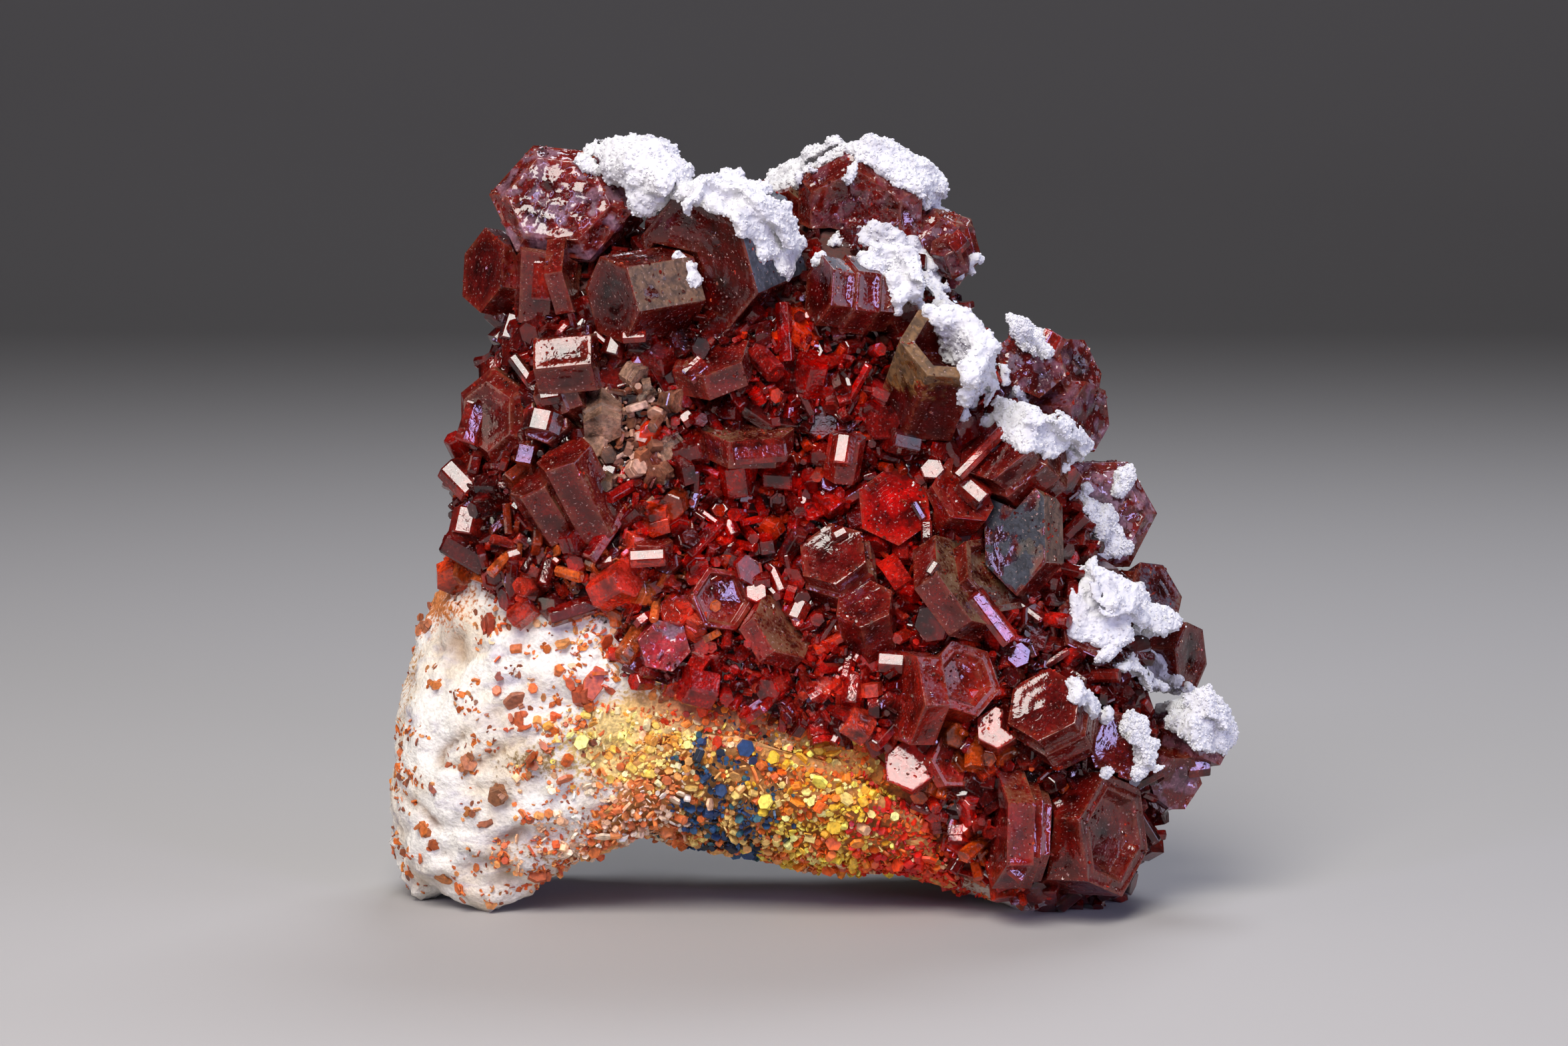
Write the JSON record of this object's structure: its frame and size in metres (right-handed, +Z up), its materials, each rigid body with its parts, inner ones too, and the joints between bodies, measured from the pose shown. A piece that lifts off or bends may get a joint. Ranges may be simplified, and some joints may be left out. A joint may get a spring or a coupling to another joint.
{
  "type": "mineral specimen",
  "caption": "Natural cluster of dark red six-sided vanadinite crystals on a cream barite matrix, with a sugary white crust along its upper right edge.",
  "frame": {"origin": "centre of the specimen's box, on the ground under its two feet", "axes": "+Z up, -Y towards the crystal-covered front, +X to the right of someone facing that front"},
  "size_m": [0.0636, 0.0326, 0.0577],
  "materials": {
    "matrix": "rough cream barite, stained orange, yellow and blue-black in places",
    "dark_crystal": "dark maroon crystal, glassy with dusty tan faces",
    "red_crystal": "deep red crystal, glassy",
    "red_druse": "carpet of small glassy red crystals",
    "stained_druse": "granular yellow and orange crust with blue-black specks",
    "crust": "matte sugary white"
  },
  "bodies": {
    "root": {"matrix": "matrix", "druse_red": "red_druse", "druse_orange": "stained_druse", "druse_back": "red_druse", "crystal_top_left": "dark_crystal", "crystals_left_shoulder": "dark_crystal", "crystal_upper_block": "dark_crystal", "crystal_crown": "dark_crystal", "crystals_peak": "dark_crystal", "crystals_under_peak": "dark_crystal", "crystal_hollow_column": "dark_crystal", "crystals_right_shoulder": "dark_crystal", "crystal_striped": "dark_crystal", "crystal_right_hexagon": "dark_crystal", "crystal_grey_face": "dark_crystal", "crystals_leaning_plates": "dark_crystal", "crystals_centre_stack": "dark_crystal", "crystal_upper_bar": "dark_crystal", "crystal_centre_bar": "dark_crystal", "crystal_small_prism": "red_crystal", "crystal_bright_red": "red_crystal", "crystal_deep_block": "red_crystal", "crystals_left_prisms": "dark_crystal", "crystal_left_small": "dark_crystal", "crystal_left_hexagon": "dark_crystal", "crystals_left_columns": "dark_crystal", "crystals_left_edge": "red_crystal", "crystal_lower_bar": "red_crystal", "crystal_lower_hexagon": "red_crystal", "crystal_ring_plate": "red_crystal", "crystal_leaning_plate": "red_crystal", "crystals_tall_plates": "red_crystal", "crystal_lower_prism": "dark_crystal", "crystals_barrel": "red_crystal", "crystal_base_right": "red_crystal", "crystals_pink_plates": "red_crystal", "crystal_white_face": "red_crystal", "crystal_right_flank": "dark_crystal", "crystal_right_crest": "dark_crystal", "crystal_under_crest": "dark_crystal", "crystals_right_tip": "dark_crystal", "crystal_right_inner": "red_crystal", "crystals_back_top": "dark_crystal", "crystals_back_right": "dark_crystal", "crystal_back_left": "dark_crystal", "crystal_back_centre": "red_crystal", "crust_top_left": "crust", "crust_crown": "crust", "crust_peak_left": "crust", "crust_peak": "crust", "crust_under_peak": "crust", "crust_ridge": "crust", "crust_shoulder": "crust", "crust_striped": "crust", "crust_hexagon": "crust", "crust_right_upper": "crust", "crust_right_lower": "crust", "crust_tip": "crust", "crust_inner_patch": "crust"}
  },
  "joints": []
}
